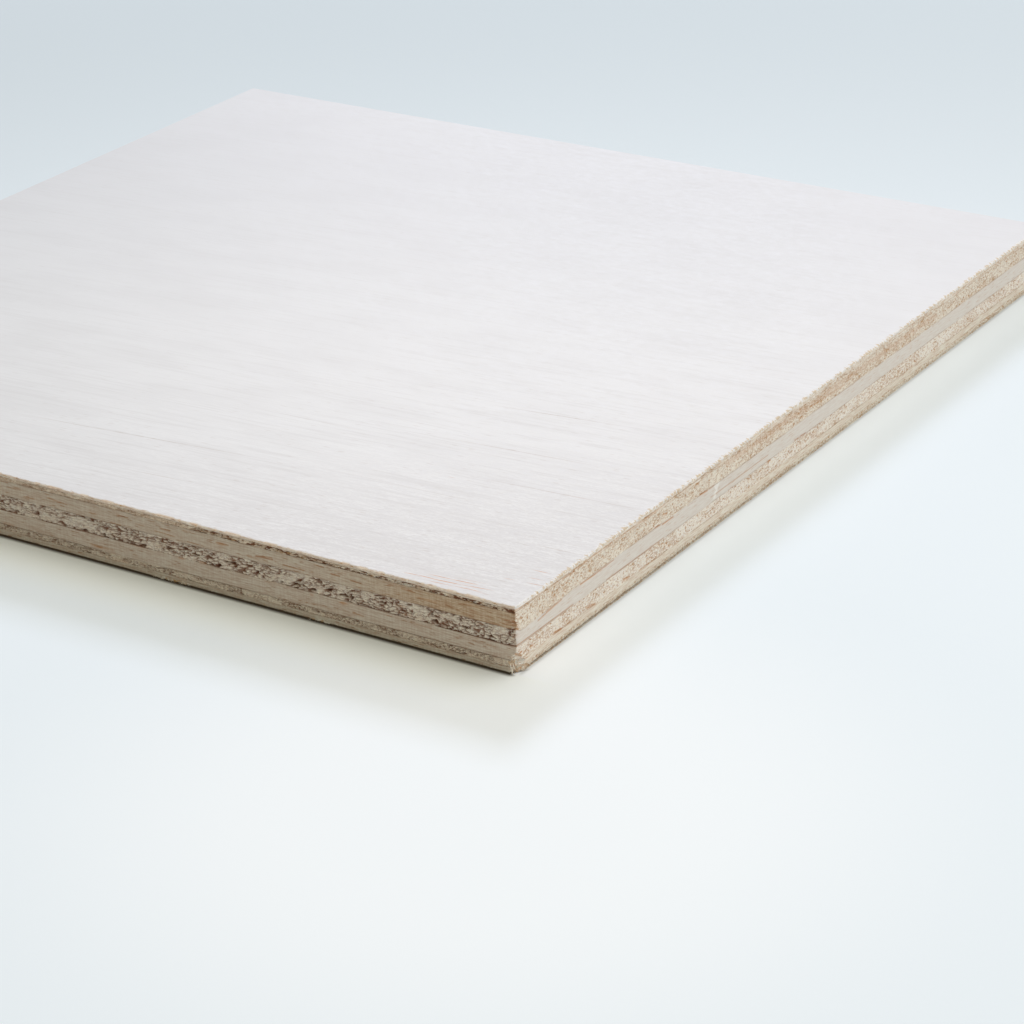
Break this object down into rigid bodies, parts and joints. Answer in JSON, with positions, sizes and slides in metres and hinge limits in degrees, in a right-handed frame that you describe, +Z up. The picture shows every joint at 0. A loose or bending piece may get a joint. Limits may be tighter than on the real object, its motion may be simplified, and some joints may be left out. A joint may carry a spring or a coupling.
{
  "type": "plywood panel",
  "caption": "Square panel of cross-banded hardwood plywood with sawn edges that show the veneers, lying flat as flat sheet stock",
  "frame": {"origin": "centre of the underside, on the level surface the panel lies on", "axes": "+X along the grain of the face veneer, -Y towards the edge that shows end grain in its crossbands, +Z up out of the face veneer"},
  "size_m": [0.2, 0.2, 0.012],
  "materials": {
    "face_veneer": "matte",
    "core": "matte",
    "crossband": "matte",
    "centre": "matte",
    "back_veneer": "matte"
  },
  "bodies": {
    "root": {"back_veneer": "back_veneer", "lower_crossband": "crossband", "lower_core": "core", "centre_crossband_front": "centre", "centre_crossband_rear": "centre", "upper_core": "core", "upper_crossband": "crossband", "face_veneer": "face_veneer"}
  },
  "joints": []
}
